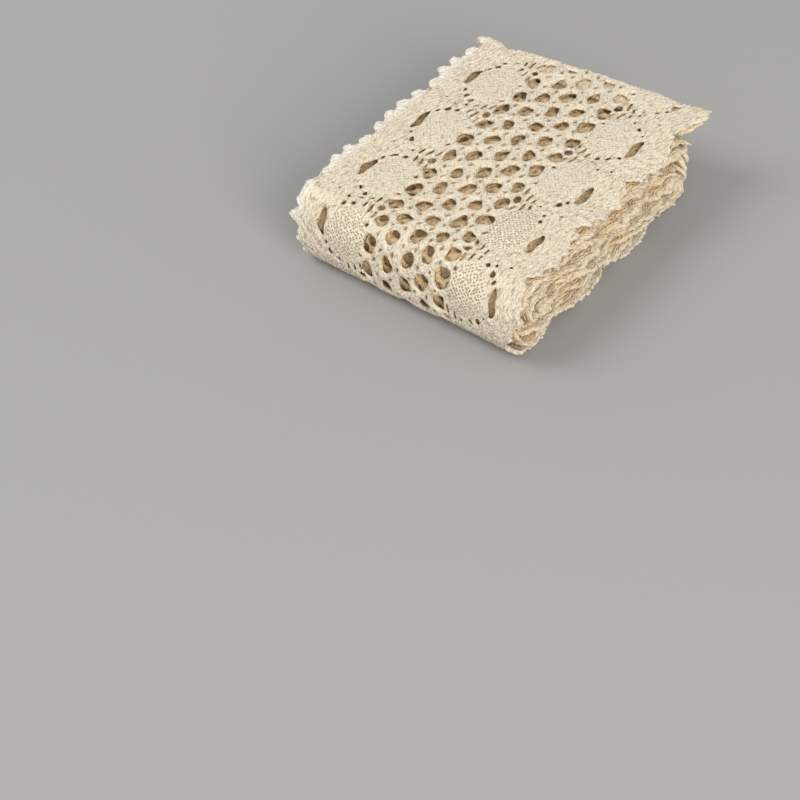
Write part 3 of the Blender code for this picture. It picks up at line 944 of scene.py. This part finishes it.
def cotton_material():
    """Matt cream cotton: fine pinholes in its weave, ridges along its strands, painted shade in its
    hollows, pinholes and grooves, and painted light on the left edge.
    """
    material = bpy.data.materials.new("lace_cotton")
    material.use_nodes = True
    tree = material.node_tree
    shader = tree.nodes["Principled BSDF"]
    for label, value in COTTON_SHADER.items():
        shader.inputs[label].default_value = value
    fields = {}
    for row, label in enumerate(("painted_hollow_shade", "depth", "weave", "band", "hidden", "painted_light")):
        field = add_node(tree, "ShaderNodeAttribute", -1900, 600 - 200 * row, attribute_name=label)
        fields[label] = field.outputs["Fac"]
    uv = add_node(tree, "ShaderNodeUVMap", -2100, -300, uv_map="Lace").outputs["UV"]
    patches = noise(tree, -1700, 900, uv, PATCH_SCALE, 3.0)
    yarn = noise(tree, -1700, -400, uv, YARN_SCALE, 2.0, YARN_ROUGHNESS)
    stray = noise(tree, -2100, 300, uv, STRAY_SCALE, 1.0)
    pinholes = pinholes_of_weave(tree, uv, fields["weave"])
    grooves = grooves_of_strands(tree, fields["depth"], fields["weave"], stray)
    pick = ranged(tree, -1500, -1200, stray, THREAD_PICK)
    one_way = threads(tree, uv, THREAD_ANGLES[0], -1000)
    other_way = threads(tree, uv, THREAD_ANGLES[1], -1300)
    slanted = blended(tree, -1300, -1000, pick, one_way, other_way)
    in_band = threads(tree, uv, BAND_THREAD_ANGLE, -1600)
    laid = blended(tree, -1100, -1000, fields["band"], slanted, in_band)
    # Painted shade: the deepest of hollows, shadows between threads, pinholes and grooves
    fine = ranged(tree, -900, -900, laid, THREAD_SHADOW, THREAD_DARKNESS)
    # Fewer painted thread shadows where the left edge has painted light
    calm = lessened(tree, -900, -1300, fields["painted_light"], PALE_CALM)
    fine = maths(tree, "MULTIPLY", -800, -1000, fine, calm)
    dark = maths(tree, "MAXIMUM", -1000, 100, fields["painted_hollow_shade"], fine)
    dark_pinholes = maths(tree, "MULTIPLY", -1100, -500, pinholes, PINHOLE_DARKNESS)
    dark = maths(tree, "MAXIMUM", -900, 0, dark, dark_pinholes)
    dark_grooves = maths(tree, "MULTIPLY", -1100, 0, grooves, RIDGE_DARKNESS)
    dark = maths(tree, "MAXIMUM", -800, -100, dark, dark_grooves)
    colour = coloured(tree, -800, 700, patches, CREAM, LIGHT_CREAM)
    # Painted light on the left edge
    colour = coloured(tree, -700, 800, fields["painted_light"], colour, PAINTED_LIGHT_CREAM)
    # Painted warm shade deep in the roll and on the flap
    colour = coloured(tree, -600, 600, fields["hidden"], colour, PAINTED_SHADE_TAN)
    # All the painted shade darkens the colour last
    colour = coloured(tree, -400, 300, dark, colour, PAINTED_SHADE_BROWN)
    linked(tree, shader, "Base Color", colour)
    height = maths(tree, "MULTIPLY", -800, -300, yarn, YARN_HEIGHT)
    thread_height = maths(tree, "MULTIPLY", -900, -1100, laid, THREAD_HEIGHT)
    height = maths(tree, "ADD", -750, -300, height, thread_height)
    height = maths(tree, "SUBTRACT", -700, -300, height, pinholes)
    groove_depth = maths(tree, "MULTIPLY", -900, -400, grooves, RIDGE_DEPTH)
    height = maths(tree, "SUBTRACT", -600, -300, height, groove_depth)
    bump = add_node(tree, "ShaderNodeBump", -300, -200)
    bump.inputs["Strength"].default_value = BUMP_STRENGTH
    bump.inputs["Distance"].default_value = BUMP_DISTANCE
    linked(tree, bump, "Height", height)
    linked(tree, shader, "Normal", bump.outputs["Normal"])
    return material


def even_places(step):
    """Places across the strip, all the same step apart."""
    half = WIDTH / 2 + MARGIN
    return np.linspace(-half, half, int(round(2 * half / step)) + 1)


def edge_places(fine, coarse, inner):
    """Places across the strip, close together at its edges alone."""
    half = WIDTH / 2 + MARGIN
    outer = np.linspace(inner, half, int(round((half - inner) / fine)) + 1)
    middle = np.linspace(-inner, inner, int(round(2 * inner / coarse)) + 1)
    return np.concatenate([-outer[::-1], middle[1:-1], outer])


def lace_strip():
    """The whole strip, in pieces, finest where the photograph's view reaches."""
    starts = SECTION_STARTS
    top_start, nose_start = starts[20], starts[19]
    top_end = float(fold_line(TOP_END_ACROSS)) + math.pi * FOLD_RADIUS + TOP_END_SPARE
    draft = 1.0
    finest, back, second, plain = (
        step * draft for step in (FINEST_STEP, BACK_STEP, SECOND_STEP, PLAIN_STEP)
    )
    strip_piece("top_layer", top_start, top_end, finest, even_places(finest))
    strip_piece("nose", nose_start, top_start, finest, even_places(finest))
    strip_piece("lowest_layer", starts[18], nose_start, plain, even_places(plain))
    # Pieces under the top layer get painted warm shade, which fades out along the far turn from its
    # start
    across = even_places(back)
    strip_piece("far_turn", starts[17], starts[18], back, across, shade=DEEP_SHADE, fade=FAR_FADE)
    across = even_places(second)
    strip_piece("second_layer", starts[16], starts[17], second, across, shade=DEEP_SHADE)
    strip_piece("inner_nose", starts[15], starts[16], second, across, shade=DEEP_SHADE)
    across = edge_places(EDGE_STEP * draft, MIDDLE_STEP, MIDDLE_HALF)
    for index in range(0, INNER_SECTIONS, 2):
        name = "inner_turn_" + str(index // 2 + 1)
        end = starts[min(index + 2, INNER_SECTIONS)]
        strip_piece(name, starts[index], end, plain, across, net=False, shade=INNER_SHADE)


# The plain floor, in metres
FLOOR_HALF = 12.0
FLOOR_COLOUR = (0.355, 0.355, 0.35, 1)
FLOOR_ROUGHNESS = 0.85


def plain_floor():
    """A wide matt grey floor."""
    mesh = bpy.data.meshes.new("floor")
    half = FLOOR_HALF
    corners = [(-half, -half, 0), (half, -half, 0), (half, half, 0), (-half, half, 0)]
    mesh.from_pydata(corners, [], [(0, 1, 2, 3)])
    floor = bpy.data.objects.new("floor", mesh)
    bpy.context.scene.collection.objects.link(floor)
    material = bpy.data.materials.new("plain_floor")
    material.use_nodes = True
    shader = material.node_tree.nodes["Principled BSDF"]
    shader.inputs["Base Color"].default_value = FLOOR_COLOUR
    shader.inputs["Roughness"].default_value = FLOOR_ROUGHNESS
    mesh.materials.append(material)


def facing(way):
    """Rotation that points a lamp's or camera's -Z along way, with its top up."""
    return Vector(way).to_track_quat("-Z", "Y").to_euler()


# The photograph's view of the top of the roll
VIEW_AZIMUTH = math.radians(36.6)
VIEW_ELEVATION = math.radians(46.3)
VIEW_ANGLE = math.radians(22.0)
VIEW_POINT = (28.5, -80.3, 21.6)
VIEW_DISTANCE = 432.0
CLIP_START = 0.01


def photo_camera():
    """A camera as far and as high as the photograph's, looking beside the roll."""
    back = np.array(
        [
            math.sin(VIEW_AZIMUTH) * math.cos(VIEW_ELEVATION),
            -math.cos(VIEW_AZIMUTH) * math.cos(VIEW_ELEVATION),
            math.sin(VIEW_ELEVATION),
        ]
    )
    data = bpy.data.cameras.new("photo_camera")
    data.sensor_fit = "AUTO"
    data.angle = VIEW_ANGLE
    data.clip_start = CLIP_START
    camera = bpy.data.objects.new("photo_camera", data)
    bpy.context.scene.collection.objects.link(camera)
    camera.location = [float(c) for c in (np.array(VIEW_POINT) + back * VIEW_DISTANCE) * MM]
    camera.rotation_euler = facing(-back)
    bpy.context.scene.camera = camera


# Soft light from all around, and two broad lamps: power in watts, place in metres, colour
SKY_COLOUR = (0.97, 0.98, 1.0, 1)
SKY_STRENGTH = 0.58
LAMP_SIZE = 0.8
KEY_LAMP = (10.2, (-0.85, -0.65, 1.15), (1.0, 0.985, 0.96))
FILL_LAMP = (10.4, (0.95, -0.55, 0.65), (1.0, 0.95, 0.88))


def broad_lamp(name, power, place, colour):
    """A round lamp that faces the roll."""
    data = bpy.data.lights.new(name, "AREA")
    data.shape = "DISK"
    data.size = LAMP_SIZE
    data.energy = power
    data.color = colour
    lamp = bpy.data.objects.new(name, data)
    bpy.context.scene.collection.objects.link(lamp)
    lamp.location = place
    lamp.rotation_euler = facing(-np.array(place))


def soft_lights():
    """The sky and the two lamps."""
    world = bpy.data.worlds.new("studio")
    world.use_nodes = True
    background = world.node_tree.nodes["Background"]
    background.inputs["Color"].default_value = SKY_COLOUR
    background.inputs["Strength"].default_value = SKY_STRENGTH
    bpy.context.scene.world = world
    broad_lamp("key", *KEY_LAMP)
    broad_lamp("fill", *FILL_LAMP)


COTTON = cotton_material()
lace_strip()
plain_floor()
soft_lights()
photo_camera()
bpy.context.scene.view_settings.view_transform = "Standard"
